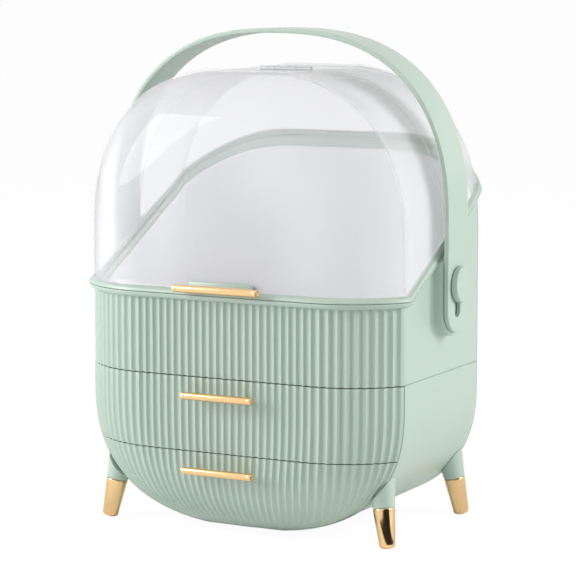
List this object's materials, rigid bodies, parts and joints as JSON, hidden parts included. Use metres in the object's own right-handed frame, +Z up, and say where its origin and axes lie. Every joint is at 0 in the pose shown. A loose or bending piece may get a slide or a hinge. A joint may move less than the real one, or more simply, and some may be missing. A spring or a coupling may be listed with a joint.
{
  "type": "makeup organizer",
  "caption": "Ribbed makeup organizer with drawers, a clear flip-up dust cover, slim bar pulls, splayed metal-tipped legs and an arched carry handle.",
  "frame": {"origin": "on the ground, under the centre of the bounding box", "axes": "+Z up, -Y towards the drawer fronts, +X to the right of someone facing them"},
  "size_m": [0.3186, 0.2328, 0.401],
  "materials": {
    "sage_plastic": "satin moulded",
    "clear_cover": "clear moulded acrylic",
    "gold_metal": "polished champagne gold",
    "pale_plastic": "satin moulded",
    "steel": "zinc plated"
  },
  "bodies": {
    "base": {"lower_shell": "sage_plastic", "upper_shell": "sage_plastic", "drawer_shelf": "sage_plastic", "liner_tray": "pale_plastic", "rear_canopy": "clear_cover", "canopy_frame": "sage_plastic", "hinge_pin": "steel", "shell_screw_1": "steel", "shell_screw_2": "steel", "shell_screw_3": "steel", "shell_screw_4": "steel", "leg_front_left": "sage_plastic", "leg_tip_front_left": "gold_metal", "leg_screw_front_left": "steel", "leg_front_right": "sage_plastic", "leg_tip_front_right": "gold_metal", "leg_screw_front_right": "steel", "leg_rear_left": "sage_plastic", "leg_tip_rear_left": "gold_metal", "leg_screw_rear_left": "steel", "leg_rear_right": "sage_plastic", "leg_tip_rear_right": "gold_metal", "leg_screw_rear_right": "steel"},
    "lower_drawer": {"lower_drawer_front": "sage_plastic", "lower_drawer_tray": "sage_plastic", "lower_drawer_bar": "gold_metal", "lower_bar_screw_left": "steel", "lower_bar_screw_right": "steel"},
    "upper_drawer": {"upper_drawer_front": "sage_plastic", "upper_drawer_tray": "sage_plastic", "upper_drawer_bar": "gold_metal", "upper_bar_screw_left": "steel", "upper_bar_screw_right": "steel"},
    "hood": {"hood_shell": "clear_cover", "hood_frame": "sage_plastic", "hood_bar": "gold_metal", "hood_bar_screw_left": "steel", "hood_bar_screw_right": "steel"},
    "pivots": {"pivot_button_left": "sage_plastic", "pivot_button_right": "sage_plastic", "pivot_clip_left": "steel", "pivot_clip_right": "steel"},
    "handle": {"carry_handle": "sage_plastic"}
  },
  "joints": [
    {"name": "lower_drawer_slide", "type": "slide", "parent": "base", "child": "lower_drawer", "axis": [0, -1, 0], "range_m": [0, 0.13]},
    {"name": "upper_drawer_slide", "type": "slide", "parent": "base", "child": "upper_drawer", "axis": [0, -1, 0], "range_m": [0, 0.13]},
    {"name": "hood_hinge", "type": "hinge", "parent": "base", "child": "hood", "pos_m": [0, 0.0055, 0.36831], "axis": [-1, 0, 0], "range_deg": [0, 50]},
    {"name": "handle_swing", "type": "hinge", "parent": "base", "child": "pivots", "pos_m": [0, 0.0055, 0.2015], "axis": [-1, 0, 0], "range_deg": [0, 100]},
    {"name": "handle_lift", "type": "slide", "parent": "pivots", "child": "handle", "axis": [0, 0, 1], "range_m": [0, 0.021]}
  ]
}
